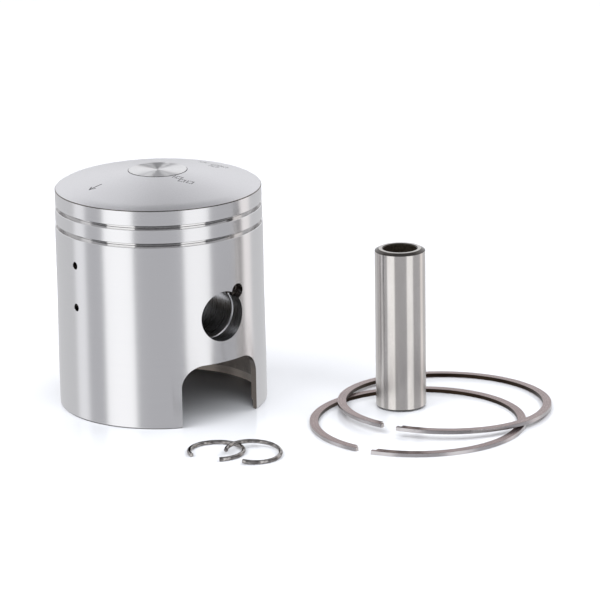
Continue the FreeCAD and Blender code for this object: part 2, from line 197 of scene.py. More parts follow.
def arc(start, end, radius, bulge, steps):
    """Points from start to end along a circle that bulges left (1) or right (-1), without start."""
    start, end = Vector(start), Vector(end)
    chord = end - start
    left = Vector((-chord.y, chord.x)).normalized()
    reach = math.sqrt(radius ** 2 - (chord.length / 2) ** 2)
    centre = (start + end) / 2 - left * bulge * reach
    first = math.atan2(start.y - centre.y, start.x - centre.x)
    last = math.atan2(end.y - centre.y, end.x - centre.x)
    sweep = (last - first + math.pi) % (2 * math.pi) - math.pi
    turns = [first + sweep * step / steps for step in range(1, steps + 1)]
    return [(centre.x + radius * math.cos(t), centre.y + radius * math.sin(t)) for t in turns]


def rounded(corners, steps=3):
    """A polyline whose corners (across, up, radius) are rounded; one without a radius stays sharp."""
    longest_share = 0.49
    points = []
    for index, corner in enumerate(corners):
        here = Vector(corner[:2])
        radius = corner[2] if len(corner) > 2 else 0.0
        if radius == 0.0 or index in (0, len(corners) - 1):
            points.append(tuple(here))
            continue
        back = Vector(corners[index - 1][:2]) - here
        ahead = Vector(corners[index + 1][:2]) - here
        half = back.angle(ahead) / 2
        run = min(radius / math.tan(half), back.length * longest_share, ahead.length * longest_share)
        start = here + back.normalized() * run
        end = here + ahead.normalized() * run
        centre = here + (back.normalized() + ahead.normalized()).normalized() * run / math.cos(half)
        for step in range(steps + 1):
            spread = start.lerp(end, step / steps) - centre
            points.append(tuple(centre + spread.normalized() * (start - centre).length))
    return points


def dome_circle():
    """Height of the crown dome's centre, and its radius, from the two rims that it joins."""
    outer, outer_height = TOP_LAND - SHOULDER_WIDTH, CROWN_EDGE + SHOULDER_RISE
    inner, inner_height = DISC, CROWN_TOP - DISC_STEP
    squares = outer ** 2 + outer_height ** 2 - inner ** 2 - inner_height ** 2
    centre = squares / (2 * (outer_height - inner_height))
    return centre, math.hypot(inner, inner_height - centre)


def crown_height(x, y):
    """Height of the dome over a place in X and Y."""
    centre, radius = dome_circle()
    return centre + math.sqrt(radius ** 2 - x ** 2 - y ** 2)


# ---------------------------------------------------------------- meshes

def linked(name, data):
    """A new object in the scene, from a mesh, a camera or a lamp."""
    made = bpy.data.objects.new(name, data)
    bpy.context.scene.collection.objects.link(made)
    return made


def new_object(name, vertices, faces):
    """A mesh object, from points in millimetres and the faces between them."""
    mesh = bpy.data.meshes.new(name)
    mesh.from_pydata([tuple(c * MM for c in v) for v in vertices], [], faces)
    mesh.update()
    return linked(name, mesh)


def closed(piece):
    """Point every face outwards."""
    build = bmesh.new()
    build.from_mesh(piece.data)
    bmesh.ops.recalc_face_normals(build, faces=build.faces)
    build.to_mesh(piece.data)
    build.free()
    return piece


def welded(piece, apart=0.0001):
    """Join the points that cuts left closer together than a tenth of a micron."""
    build = bmesh.new()
    build.from_mesh(piece.data)
    bmesh.ops.remove_doubles(build, verts=build.verts, dist=apart * MM)
    build.to_mesh(piece.data)
    build.free()
    return piece


def lathe(name, outline, steps=PISTON_STEPS):
    """A closed solid turned about Z. The outline runs from axis to axis, or closes on itself."""
    on_axis = 1e-6
    vertices, rings = [], []
    for radius, height in outline:
        if radius < on_axis:
            rings.append([len(vertices)] * steps)
            vertices.append((0.0, 0.0, height))
            continue
        rings.append(list(range(len(vertices), len(vertices) + steps)))
        for step in range(steps):
            turn = 2 * math.pi * step / steps
            vertices.append((radius * math.cos(turn), radius * math.sin(turn), height))
    pairs = list(zip(rings, rings[1:]))
    if outline[0][0] > on_axis:
        pairs.append((rings[-1], rings[0]))
    faces = []
    for low, high in pairs:
        for step in range(steps):
            after = (step + 1) % steps
            corners = [low[step], low[after], high[after], high[step]]
            faces.append(tuple(dict.fromkeys(corners)))
    return closed(new_object(name, vertices, faces))


def prism(name, outline, low, high):
    """An outline in X and Y, drawn up from low to high, each a number or a function of x and y."""
    count = len(outline)
    vertices = []
    for limit in (low, high):
        vertices += [(x, y, limit(x, y) if callable(limit) else limit) for x, y in outline]
    faces = [tuple(range(count - 1, -1, -1)), tuple(range(count, 2 * count))]
    faces += [(i, (i + 1) % count, (i + 1) % count + count, i + count) for i in range(count)]
    return closed(new_object(name, vertices, faces))


def swept(name, section, stations):
    """A closed section of points (out, up), drawn round Z through stations (turn, scale).

    Scale shrinks the section about its middle radius.
    """
    middle = sum(out for out, _ in section) / len(section)
    count = len(section)
    vertices = []
    for turn, scale in stations:
        for out, up in section:
            radius = middle + (out - middle) * scale
            vertices.append((radius * math.cos(turn), radius * math.sin(turn), up * scale))
    faces = [tuple(range(count)), tuple(range(len(vertices) - count, len(vertices)))]
    for station in range(len(stations) - 1):
        for i in range(count):
            here, after = station * count + i, station * count + (i + 1) % count
            faces.append((here, after, after + count, here + count))
    return closed(new_object(name, vertices, faces))


def turned_about(piece, degrees, axis):
    piece.data.transform(Matrix.Rotation(math.radians(degrees), 4, axis))
    return piece


def mirrored_along_y(piece):
    piece.data.transform(Matrix.Scale(-1, 4, (0, 1, 0)))
    return closed(piece)


def lay_along_y(piece):
    """Turn a piece that was made about Z so that its own X stays, and its Z points along Y."""
    return mirrored_along_y(turned_about(piece, 90, "X"))


def moved(piece, x=0.0, y=0.0, z=0.0):
    piece.data.transform(Matrix.Translation(Vector((x, y, z)) * MM))
    return piece


def settle(piece):
    """Replace the piece's mesh by what its modifiers make of it."""
    graph = bpy.context.evaluated_depsgraph_get()
    mesh = bpy.data.meshes.new_from_object(piece.evaluated_get(graph))
    piece.modifiers.clear()
    piece.data = mesh
    return piece


def cut(piece, tool):
    """Take the tool's shape out of the piece, and remove the tool."""
    modifier = piece.modifiers.new("cut", "BOOLEAN")
    modifier.operation = "DIFFERENCE"
    modifier.solver = "MANIFOLD"
    modifier.object = tool
    settle(piece)
    bpy.data.objects.remove(tool)
    return piece


def smooth(piece, degrees=32.0):
    """Smooth shading, with sharp edges where the surface turns by more than the angle."""
    piece.data.polygons.foreach_set("use_smooth", [True] * len(piece.data.polygons))
    piece.data.set_sharp_from_angle(angle=math.radians(degrees))
    even = piece.modifiers.new("even", "WEIGHTED_NORMAL")
    even.keep_sharp = True
    return settle(piece)


def dress(piece, finishes, choose):
    """Give every face one of the finishes: choose(centre in mm, normal) returns its index."""
    piece.data.materials.clear()
    for finish in finishes:
        piece.data.materials.append(finish)
    for face in piece.data.polygons:
        face.material_index = choose(face.center / MM, face.normal)
    return piece


# ---------------------------------------------------------------- piston

def crown_outline():
    """The ridged centre spot, its groove, the dome and the shoulder, from the axis to the edge break."""
    dome_low = (TOP_LAND - SHOULDER_WIDTH, CROWN_EDGE + SHOULDER_RISE)
    _, dome_radius = dome_circle()
    ridges = round(DISC / DISC_PITCH)
    points = []
    for ridge in range(ridges):
        points.append((DISC * ridge / ridges, CROWN_TOP))
        points.append((DISC * (ridge + DISC_LEAN) / ridges, CROWN_TOP - DISC_RIDGE))
    groove_foot = (DISC + DISC_EDGE, CROWN_TOP - DISC_STEP - DISC_GROOVE)
    dome_start = (DISC + DISC_GROOVE, crown_height(DISC + DISC_GROOVE, 0.0))
    points += [(DISC, CROWN_TOP - DISC_EDGE), groove_foot, dome_start]
    points += arc(dome_start, dome_low, dome_radius, bulge=1, steps=24)
    points += arc(dome_low, (TOP_LAND, CROWN_EDGE), SHOULDER_RADIUS, bulge=1, steps=12)[:-1]
    points.append((TOP_LAND - CROWN_BREAK, CROWN_EDGE + CROWN_BREAK * CROWN_BREAK_SLOPE))
    return points


def piston_outline():
    """The turned outside with its small edge radii, as a full solid down to the foot."""
    half = GROOVE_WIDTH / 2
    side = [(TOP_LAND, CROWN_EDGE - CROWN_BREAK * CROWN_BREAK_SLOPE)]
    for middle, above, below in ((GROOVES[0], TOP_LAND, SECOND_LAND), (GROOVES[1], SECOND_LAND, GUIDE)):
        side += [
            (above, middle + half + GROOVE_EDGE, EDGE_BEND),
            (above - GROOVE_EDGE, middle + half, EDGE_BEND),
            (GROOVE_FLOOR, middle + half, CORNER_BEND),
            (GROOVE_FLOOR, middle - half, CORNER_BEND),
            (below - GROOVE_EDGE, middle - half, EDGE_BEND),
            (below, middle - half - GROOVE_EDGE, EDGE_BEND),
        ]
    side += [
        (GUIDE, GUIDE_LOW),
        (SKIRT, SKIRT_FULL),
        (SKIRT, FOOT + FOOT_EDGE, CORNER_BEND),
        (SKIRT - FOOT_EDGE, FOOT, CORNER_BEND),
        (0.0, FOOT),
    ]
    return crown_outline() + rounded(side)


def cast_core():
    """The space that the casting's core leaves: a round cavity less two bosses, its edges run together."""
    roof_start = (BELT - ROOF_BEND, ROOF_EDGE)
    outline = [(0.0, ROOF), roof_start]
    outline += arc(roof_start, (BELT, ROOF_EDGE - ROOF_BEND), ROOF_BEND, bulge=1, steps=10)
    outline += [(BELT, BELT_LOW), (CAVITY, CAVITY_FULL), (CAVITY, BELOW_FOOT), (0.0, BELOW_FOOT)]
    core = lathe("core", outline, CAST_STEPS)
    boss_outline = [(0.0, BOSS_FACE), (BOSS, BOSS_FACE), (BOSS, BOSS_END), (0.0, BOSS_END)]
    for side in (1, -1):
        boss = lay_along_y(lathe("boss", boss_outline, BOSS_STEPS))
        if side < 0:
            turned_about(boss, 180, "Z")
        cut(core, closed(boss))
        web_outline = [(-BOSS, BOSS_FACE), (BOSS, BOSS_FACE), (BOSS, BOSS_END), (-BOSS, BOSS_END)]
        cut(core, prism("web", [(x, y * side) for x, y in web_outline], 0.0, CROWN_EDGE))
    remesh = core.modifiers.new("cast", "REMESH")
    remesh.mode = "VOXEL"
    remesh.voxel_size = CAST_GRAIN * MM
    soften = core.modifiers.new("soften", "SMOOTH")
    soften.factor = 0.5
    soften.iterations = CAST_SOFTENING
    return settle(core)


def bore_tool():
    """The pin bore with the circlip groove in each mouth, as one turned cutter."""
    middle = PIN_BORE + CLIP_GROOVE_DEPTH - CLIP_GROOVE_BEND
    half = math.sqrt(CLIP_GROOVE_BEND ** 2 - (middle - PIN_BORE) ** 2)
    low = math.atan2(-half, PIN_BORE - middle)
    steps = 12
    outline = [(0.0, -PAST_SKIRT), (PIN_BORE, -PAST_SKIRT)]
    for place in (-CLIP_GROOVE_PLACE, CLIP_GROOVE_PLACE):
        outline.append((PIN_BORE, place - half))
        for step in range(1, steps):
            turn = low + (-2 * low) * step / steps
            outline.append((middle + CLIP_GROOVE_BEND * math.cos(turn),
                            place + CLIP_GROOVE_BEND * math.sin(turn)))
        outline.append((PIN_BORE, place + half))
    outline += [(PIN_BORE, PAST_SKIRT), (0.0, PAST_SKIRT)]
    return lay_along_y(lathe("bore", outline, BORE_STEPS))


def notch_tool(side):
    """The stepped recess beside a bore's mouth that a pick goes into to lift the circlip out."""
    outline = [(0.0, NOTCH_FLOOR), *NOTCH_STEPS, (NOTCH, PAST_SKIRT), (0.0, PAST_SKIRT)]
    notch = lay_along_y(lathe("notch", outline, NOTCH_TURN_STEPS))
    moved(notch, x=NOTCH_PLACE[0], z=NOTCH_PLACE[1])
    return mirrored_along_y(notch) if side < 0 else notch


def window_tool():
    """The cut-out under both bosses, straight through along Y."""
    corner = WINDOW_CORNER
    outline = [(-WINDOW_HALF, BELOW_FOOT), (WINDOW_HALF, BELOW_FOOT), (WINDOW_HALF, WINDOW_TOP - corner)]
    outline += arc(outline[-1], (WINDOW_HALF - corner, WINDOW_TOP), corner, bulge=-1, steps=20)
    outline.append((corner - WINDOW_HALF, WINDOW_TOP))
    outline += arc(outline[-1], (-WINDOW_HALF, WINDOW_TOP - corner), corner, bulge=-1, steps=20)
    return lay_along_y(prism("window", outline, -PAST_SKIRT, PAST_SKIRT))


def oil_hole_tool(height):
    """A drilled hole on the exhaust side, with a light deburring cone at its mouth."""
    inside, mouth = 20.0, GUIDE + 0.12
    cone_start, cone_end = mouth - 0.22, mouth + 0.3
    outline = [
        (0.0, inside), (OIL_HOLE, inside), (OIL_HOLE, cone_start),
        (OIL_HOLE + OIL_HOLE_CONE, cone_end), (0.0, cone_end),
    ]
    hole = turned_about(lathe("oil_hole", outline, OIL_HOLE_STEPS), 90, "Y")
    return moved(closed(hole), z=height)


def peg_hole_tool(direction, height):
    """A blind hole in a ring groove's floor, of the peg's own size."""
    floor, mouth = PEG_HOLE_REACH
    outline = [(0.0, floor), (PEG_HOLE, floor), (PEG_HOLE, mouth), (0.0, mouth)]
    hole = lathe("peg_hole", outline, PEG_HOLE_STEPS)
    turned_about(turned_about(hole, 90, "Y"), direction, "Z")
    return moved(closed(hole), z=height)


def register_tool():
    """The machined band inside the foot of the skirt, with a slope that leads out of it."""
    low, top = FOOT - 2.0, FOOT + REGISTER_HEIGHT
    inwards, lead = REGISTER_LEAD
    outline = [
        (0.0, low), (REGISTER, low), (REGISTER, top), (CAVITY - inwards, top + lead), (0.0, top + lead),
    ]
    return lathe("register", outline)


def arrow_tool():
    """The stamped arrow that points to the exhaust side: a shaft and two barbs, all of one stroke."""
    tail, head, tip, side = 20.5, 23.9, 25.6, -1.75
    shaft, tip_run, barb, barb_flare, stroke = 0.2, 0.64, 1.05, 0.15, 0.6
    half = [(tail, shaft), (tip - tip_run, shaft), (head - stroke, barb), (head, barb + barb_flare)]
    outline = [(along, side + across) for along, across in half] + [(tip, side)]
    outline += [(along, side - across) for along, across in reversed(half)]

    def floor(x, y):
        return crown_height(x, y) - ARROW_DEPTH

    def above(x, y):
        return crown_height(x, y) + 1.0

    return prism("arrow", outline, floor, above)


def dot_places():
    """Where the marking pen struck the crown: plain rows of squares and bars that spell nothing."""
    places = []
    for start_x, start_y, heading, glyphs in MARK_ROWS:
        ahead = Vector((math.cos(math.radians(heading)), math.sin(math.radians(heading))))
        side = Vector((ahead.y, -ahead.x))
        along = 0.0
        for glyph in glyphs.split():
            columns = MARK_COLUMNS[glyph]
            for column in range(columns):
                for row in range(MARK_ROW_DOTS):
                    if column in (0, columns - 1) or row in (0, MARK_ROW_DOTS - 1):
                        place = ahead * (along + column * MARK_STEP) + side * row * MARK_STEP
                        places.append((start_x + place.x, start_y + place.y))
            along += (columns + MARK_GAP) * MARK_STEP
    return places


def dot_tools():
    """One small ball for every dot, sunk into the crown by most of its radius."""
    build = bmesh.new()
    for x, y in dot_places():
        place = Matrix.Translation(Vector((x, y, crown_height(x, y) + MARK_RADIUS * MARK_RAISED)) * MM)
        bmesh.ops.create_icosphere(build, subdivisions=2, radius=MARK_RADIUS * MM, matrix=place)
    mesh = bpy.data.meshes.new("dots")
    build.to_mesh(mesh)
    build.free()
    return linked("dots", mesh)


# Two of these finishes paint shade: the dark one for cuts inside the skirt, in the notches and holes and on
# the crown's edge break, and the near-black one for the arrow, the dots and the disc's groove.
TURNED, CROWN, CAST, BORED, SHADED_CUT, DISC_FACE, GROOVED, GROOVE_WALL, RECESS_SHADE = range(9)

# how near to a true surface a face's centre has to be, to count as on it, from strict to loose
TOUCH = 0.01
NEAR = 0.02
CLOSE = 0.05


def side_radius(height):
    """The turned outside's radius at a height on a land or the skirt."""
    if height > GROOVES[0]:
        return TOP_LAND
    if height > GROOVES[1]:
        return SECOND_LAND
    if height > GUIDE_LOW:
        return GUIDE
    if height > SKIRT_FULL:
        return SKIRT + (GUIDE - SKIRT) * (height - SKIRT_FULL) / (GUIDE_LOW - SKIRT_FULL)
    return SKIRT


def crown_surface(x, y, z, normal):
    """Which finish a face above the crown's edge has."""
    radius = math.hypot(x, y)
    # The groove round the centre spot, and the arrow and dots sunk below the dome, get the near-black
    # finish: painted shade in these hollows.
    in_disc_groove = abs(radius - DISC) < 2 * NEAR and normal.z < 0.5
    in_dome = DISC + NEAR < radius < TOP_LAND - SHOULDER_WIDTH
    if in_disc_groove or (in_dome and z < crown_height(x, y) - NEAR):
        return RECESS_SHADE
    return DISC_FACE if radius < DISC else CROWN


def in_bore(x, y, z, normal):
    """Whether a face is on the pin bore's wall or in its circlip grooves."""
    from_bore = math.hypot(x, z)
    in_boss = abs(y) > BOSS_FACE - 0.5
    near_bore = from_bore < PIN_BORE + CLIP_GROOVE_DEPTH + CLOSE
    looks_along = abs(normal.y) > 0.999
    looks_inward = x * normal.x + z * normal.z < 0
    return in_boss and near_bore and not looks_along and (looks_inward or from_bore < PIN_BORE + NEAR)


def shaded_cut_inside(x, y, z, normal, outward):
    """Whether a face is on the band inside the foot, or on an edge that was cut through the skirt: faces
    that get the painted shade.
    """
    radius = math.hypot(x, y)
    on_register = radius > REGISTER - CLOSE and z < FOOT + REGISTER_HEIGHT + CLOSE
    on_window_side = abs(abs(x) - WINDOW_HALF) < NEAR and abs(normal.x) > 0.99
    through_skirt = radius > CAVITY - CAST_PLAY and abs(outward) < 0.75
    return on_register or on_window_side or through_skirt


def piston_surface(centre, normal):
    """Which finish a face of the piston has, from where it is and which way it looks."""
    x, y, z = centre
    radius = math.hypot(x, y)
    from_skin = side_radius(z) - radius
    from_notch = math.hypot(x - NOTCH_PLACE[0], z - NOTCH_PLACE[1])
    outward = (x * normal.x + y * normal.y) / max(radius, MM)
    on_skin = from_skin < TOUCH
    on_edge = from_skin < FOOT_EDGE + 0.1 and outward > 0.6
    looks_up = normal.z > 0.3
    level = abs(normal.z) > 0.7
    # The crown's edge break takes the dark cut finish: a painted dark reflection along the crown's edge.
    if radius > TOP_LAND - CROWN_BREAK and z > CROWN_EDGE - CROWN_BREAK and looks_up:
        return SHADED_CUT
    if z > CROWN_EDGE - TOUCH:
        return crown_surface(x, y, z, normal)
    if on_skin and outward > 0.9:
        return TURNED
    # The notch's walls take the dark cut finish: painted shade in the notch.
    if from_notch < NOTCH + CLOSE and abs(y) > NOTCH_FLOOR - CLOSE:
        return BORED if looks_up and abs(normal.y) < 0.5 else SHADED_CUT
    if in_bore(x, y, z, normal):
        return BORED
    if on_skin or on_edge:
        return TURNED
    if z > GROOVES[1] - GROOVE_WIDTH and radius > GROOVE_FLOOR - TOUCH:
        return GROOVE_WALL if level else GROOVED
    return SHADED_CUT if shaded_cut_inside(x, y, z, normal, outward) else CAST


def true_normals(piston):
    """Give turned, domed and bored faces their true surfaces' normals, so that cuts leave no streaks."""
    mesh = piston.data
    normals = [corner.vector.copy() for corner in mesh.corner_normals]
    dome, _ = dome_circle()
    for face in mesh.polygons:
        x, y, z = face.center / MM
        radius = math.hypot(x, y)
        upright = abs(face.normal.z) < 0.1 or radius > side_radius(z) - TOUCH / 2
        round_side = face.material_index in (TURNED, GROOVED) and upright
        domed = face.material_index == CROWN and DISC < radius < TOP_LAND - SHOULDER_WIDTH
        domed = domed and z > crown_height(x, y) - NEAR
        bored = face.material_index == BORED and abs(math.hypot(x, z) - PIN_BORE) < NEAR
        for corner in face.loop_indices:
            place = mesh.vertices[mesh.loops[corner].vertex_index].co / MM
            if round_side:
                normals[corner] = Vector((place.x, place.y, 0.0)).normalized()
            elif domed:
                normals[corner] = Vector((place.x, place.y, place.z - dome)).normalized()
            elif bored:
                normals[corner] = Vector((-place.x, 0.0, -place.z)).normalized()
    mesh.normals_split_custom_set(normals)
    return piston


def make_piston(finishes):
    """The turned outside, less everything that is cast, bored, milled, drilled or stamped into it."""
    piston = lathe("piston_visual", piston_outline())
    for make_tool in (cast_core, register_tool, bore_tool):
        cut(piston, make_tool())
    for side in (1, -1):
        cut(piston, notch_tool(side))
    cut(piston, window_tool())
    for height in OIL_HOLE_HEIGHTS:
        cut(piston, oil_hole_tool(height))
    for direction, height in PEG_HOLES:
        cut(piston, peg_hole_tool(direction, height))
    cut(piston, arrow_tool())
    cut(piston, dot_tools())
    return true_normals(smooth(dress(welded(piston), finishes, piston_surface)))


# ---------------------------------------------------------------- loose pieces

PIN_SIDE, PIN_CUT, PIN_CHAMFERED, PIN_INSIDE = range(4)
RING_FACE, RING_OUTSIDE, RING_INSIDE, RING_END = range(4)


def lay(piece, name, reach, rise):
    """Put a ring or clip down: its gap in its direction, and tilted with its low side on the table."""
    x, y, gap_direction, tilt, low_direction = LAID[name]
    across = Matrix.Rotation(math.radians(low_direction + 90), 4, "Z") @ Vector((1, 0, 0))
    height = FOOT + rise + reach * math.sin(math.radians(tilt))
    place = Matrix.Translation(Vector((x, y, height)) * MM)
    tilted = Matrix.Rotation(math.radians(tilt), 4, across)
    piece.data.transform(place @ tilted @ Matrix.Rotation(math.radians(gap_direction), 4, "Z"))
    return piece


def pin_surface(centre, normal):
    """Which finish a face of the wrist pin has."""
    radius = math.hypot(centre.x, centre.y)
    upright, level = abs(normal.z) < 0.25, abs(normal.z) > 0.95
    if radius < PIN_HOLLOW + NEAR or (upright and radius < PIN - 0.2):
        return PIN_INSIDE
    if upright:
        return PIN_SIDE
    return PIN_CUT if level else PIN_CHAMFERED


def make_wrist_pin(finishes):
    """The hollow pin, with a long chamfer outside each end and a little one inside."""
    across, along = PIN_CHAMFER
    foot = [
        (PIN_HOLLOW, PIN_INSIDE_CHAMFER, PIN_INSIDE_EDGE),
        (PIN_HOLLOW + PIN_INSIDE_CHAMFER, 0.0, PIN_EDGE),
        (PIN - across, 0.0, PIN_EDGE),
        (PIN, along, PIN_EDGE),
    ]
    top = [(radius, PIN_LENGTH - up, bend) for radius, up, bend in reversed(foot)]
    inside, outside = (PIN_HOLLOW, PIN_LENGTH / 2), (PIN, PIN_LENGTH / 2)
    steps = 4
    outline = rounded([inside] + foot + [outside], steps) + rounded([outside] + top + [inside], steps)[1:-1]
    pin = smooth(dress(lathe("wrist_pin_visual", outline, PIN_STEPS), finishes, pin_surface))
    return moved(pin, *PIN_PLACE, FOOT)


def ring_surface(centre, normal):
    """Which finish a face of a ring has."""
    outward = (centre.x * normal.x + centre.y * normal.y) / math.hypot(centre.x, centre.y)
    upright, level = abs(normal.z) < 0.3, abs(normal.z) > 0.75
    if level:
        return RING_FACE
    if upright and abs(outward) < 0.6:
        return RING_END
    return RING_OUTSIDE if outward > 0 else RING_INSIDE


def make_ring(name, finishes):
    """A split ring in its free state, with half of the peg's notch inside each end."""
    outer, inner = RING_OUTER, RING_OUTER - RING_WIDTH
    middle = (outer + inner) / 2
    corners = [(outer, 0.0), (outer, RING_THICK), (inner, RING_THICK), (inner, 0.0)]
    start = (middle, 0.0)
    section = rounded([start, *((*corner, RING_EDGE) for corner in corners), start], 4)[:-1]
    half_gap = RING_GAP / 2
    first = math.atan2(half_gap, middle)
    sweep = 2 * math.pi - 2 * first
    stations = [(first + sweep * step / RING_STEPS, 1.0) for step in range(RING_STEPS + 1)]
    ring = swept(f"{name}_visual", section, stations)
    notch_half = half_gap + RING_NOTCH[0]
    notch_reach = math.sqrt((inner + RING_NOTCH[1]) ** 2 - notch_half ** 2)
    notch_start = inner - 2
    outline = [
        (notch_start, -notch_half), (notch_reach, -notch_half),
        (notch_reach, notch_half), (notch_start, notch_half),
    ]
    cut(ring, prism("notch", outline, -1.0, RING_THICK + 1.0))
    smooth(dress(ring, finishes, ring_surface))
    return lay(ring, name, outer, 0.0)


def make_circlip(name, finishes):
    """A round-wire C-clip in its free state, its cut ends lightly rubbed."""
    section = []
    for step in range(WIRE_STEPS):
        turn = 2 * math.pi * step / WIRE_STEPS
        section.append((CLIP_BEND + CLIP_WIRE * math.cos(turn), CLIP_WIRE * math.sin(turn)))
    first = math.radians(CLIP_GAP / 2)
    last = 2 * math.pi - first
    rub = CLIP_RUBBED / CLIP_BEND
    sweep = last - first - 2 * rub
    stations = [(first + rub * share, scale) for share, scale in CLIP_END]
    stations += [(first + rub + sweep * step / CLIP_STEPS, 1.0) for step in range(CLIP_STEPS + 1)]
    stations += [(last - rub * share, scale) for share, scale in reversed(CLIP_END)]
    clip = swept(f"{name}_visual", section, stations)
    smooth(dress(clip, finishes, lambda centre, normal: 0))
    return lay(clip, name, CLIP_BEND, CLIP_WIRE)


# ---------------------------------------------------------------- materials

ON_AXIS = (0.0, 0.0, 0.0)

# the share of a noise's range that holds most of its values: tool lines, grain and stains
LINES = (0.3, 0.7)
GRAIN = (0.35, 0.65)
STAIN = (0.36, 0.64)


class Nodes:
    """Makes and joins the nodes of one node tree."""

    def __init__(self, tree):
        self.nodes = tree.nodes
        self.links = tree.links

    def put(self, value, socket):
        """Join another socket to this one, or set its own number, vector or colour."""
        if isinstance(value, bpy.types.NodeSocket):
            self.links.new(value, socket)
        else:
            socket.default_value = value

    def node(self, kind, inputs=(), **settings):
        node = self.nodes.new(kind)
        for name, value in settings.items():
            setattr(node, name, value)
        for key, value in dict(inputs).items():
            self.put(value, node.inputs[key])
        return node

    def calc(self, operation, first, second=0.0, third=0.0):
        return self.node("ShaderNodeMath", {0: first, 1: second, 2: third}, operation=operation).outputs[0]

    def mix(self, share, first, second):
        """A colour between two, each a socket or three numbers."""
        node = self.node("ShaderNodeMix", {0: share}, data_type="RGBA")
        for key, value in ((6, first), (7, second)):
            self.put((*value, 1.0) if isinstance(value, tuple) else value, node.inputs[key])
        return node.outputs[2]

    def step(self, value, low, high):
        """A soft step from 0 to 1 as the value goes from low to high."""
        return self.node("ShaderNodeMapRange", {"Value": value, "From Min": low, "From Max": high},
                         interpolation_type="SMOOTHSTEP").outputs[0]


class Paint(Nodes):
    """A material in the making, on one Principled shader, measured from the centre of its piece."""

    def __init__(self, name, centre=ON_AXIS):
        self.material = bpy.data.materials.new(name)
        self.material.use_nodes = True
        super().__init__(self.material.node_tree)
        self.shader = self.nodes["Principled BSDF"]
        place = self.node("ShaderNodeTexCoord").outputs["Object"]
        self.place = self.node("ShaderNodeVectorMath", {0: place, 1: tuple(c * MM for c in centre)},
                               operation="SUBTRACT").outputs[0]

    def set(self, **values):
        for name, value in values.items():
            self.shader.inputs[name.replace("_", " ")].default_value = value
        return self

    def turned(self, stretch):
        """Stretch highlights across the tool's lines, which go round Z: a quarter turn from the tangent."""
        tangent = self.node("ShaderNodeTangent", direction_type="RADIAL", axis="Z")
        self.put(tangent.outputs[0], self.shader.inputs["Tangent"])
        return self.set(Anisotropic=stretch, Anisotropic_Rotation=0.25)

    def noise(self, vector, detail, rough):
        return self.node("ShaderNodeTexNoise", {"Vector": vector, "Scale": 1.0, "Detail": detail,
                                                "Roughness": rough}).outputs["Fac"]

    def grain(self, per_mm, detail=3.0, rough=0.6):
        """Noise with so many changes in a millimetre: one number, or one for each axis."""
        scale = per_mm if isinstance(per_mm, tuple) else (per_mm, per_mm, per_mm)
        vector = self.node("ShaderNodeVectorMath", {0: self.place, 1: tuple(s / MM for s in scale)},
                           operation="MULTIPLY").outputs[0]
        return self.noise(vector, detail, rough)

    def lines(self, per_mm, radius=0.0, height=0.0, along_y=0.0):
        """Tool lines: noise that changes only with a mix of the distance from the axis, the height and Y."""
        x, y, z = self.node("ShaderNodeSeparateXYZ", {0: self.place}).outputs
        across = self.calc("SQRT", self.calc("MULTIPLY_ADD", x, x, self.calc("MULTIPLY", y, y)))
        total = 0.0
        for measure, share in ((across, radius), (z, height), (y, along_y)):
            if share:
                total = self.calc("MULTIPLY_ADD", measure, share * per_mm / MM, total)
        return self.noise(self.node("ShaderNodeCombineXYZ", {0: total}).outputs[0], 3.0, 0.7)

    def blend(self, share, first, second):
        """So much of the first noise, and the rest of the second."""
        rest = self.calc("MULTIPLY", second, 1.0 - share)
        return self.calc("MULTIPLY_ADD", first, share, rest)

    def ramp(self, value, low, high, span):
        """A number from low to high as the value goes through the span, and no further."""
        start, end = span
        return self.node("ShaderNodeMapRange", {"Value": value, "From Min": start, "From Max": end,
                                                "To Min": low, "To Max": high}).outputs[0]

    def tones(self, value, dark, light, span):
        return self.mix(self.ramp(value, 0.0, 1.0, span), dark, light)

    def relief(self, height, depth, strength):
        """A bump of a depth in millimetres."""
        return self.node("ShaderNodeBump", {"Height": height, "Distance": depth * MM,
                                            "Strength": strength}).outputs[0]

    def finish(self, color, roughness, normal):
        for name, source in (("Base Color", color), ("Roughness", roughness), ("Normal", normal)):
            self.put(source, self.shader.inputs[name])
        return self.material


def lined_metal(paint, fine, tones, rough, relief):
    """Machined metal whose tool lines set its tone, its gloss and its relief."""
    return paint.finish(paint.tones(fine, *tones, LINES), paint.ramp(fine, *rough, LINES),
                        paint.relief(fine, *relief))


def grained_metal(name, metallic, per_mm, tones, rough, relief):
    """Rough metal whose grain sets its tone, its gloss and its relief."""
    paint = Paint(name).set(Metallic=metallic)
    grain = paint.grain(per_mm)
    return paint.finish(paint.tones(grain, *tones, GRAIN), paint.ramp(grain, *rough, LINES),
                        paint.relief(grain, *relief))


def turned_alloy():
    """The lands and the skirt."""
    paint = Paint("turned_alloy").set(Metallic=1.0).turned(0.75)
    fine = paint.lines(6.0, height=1.0)
    shade = paint.blend(0.6, fine, paint.lines(0.9, height=1.0))
    color = paint.tones(shade, (0.745, 0.745, 0.76), (0.80, 0.80, 0.81), LINES)
    return paint.finish(color, paint.ramp(shade, 0.2, 0.27, LINES), paint.relief(fine, 0.004, 0.5))


def crown_alloy():
    """The dome: duller than the side, and evenly grained."""
    paint = Paint("crown_alloy").set(Metallic=1.0).turned(0.5)
    fine = paint.lines(7.0, radius=1.0)
    color = paint.tones(paint.grain(3.0), (0.74, 0.74, 0.762), (0.79, 0.79, 0.812), GRAIN)
    return paint.finish(color, paint.ramp(fine, 0.41, 0.49, LINES), paint.relief(fine, 0.003, 0.5))


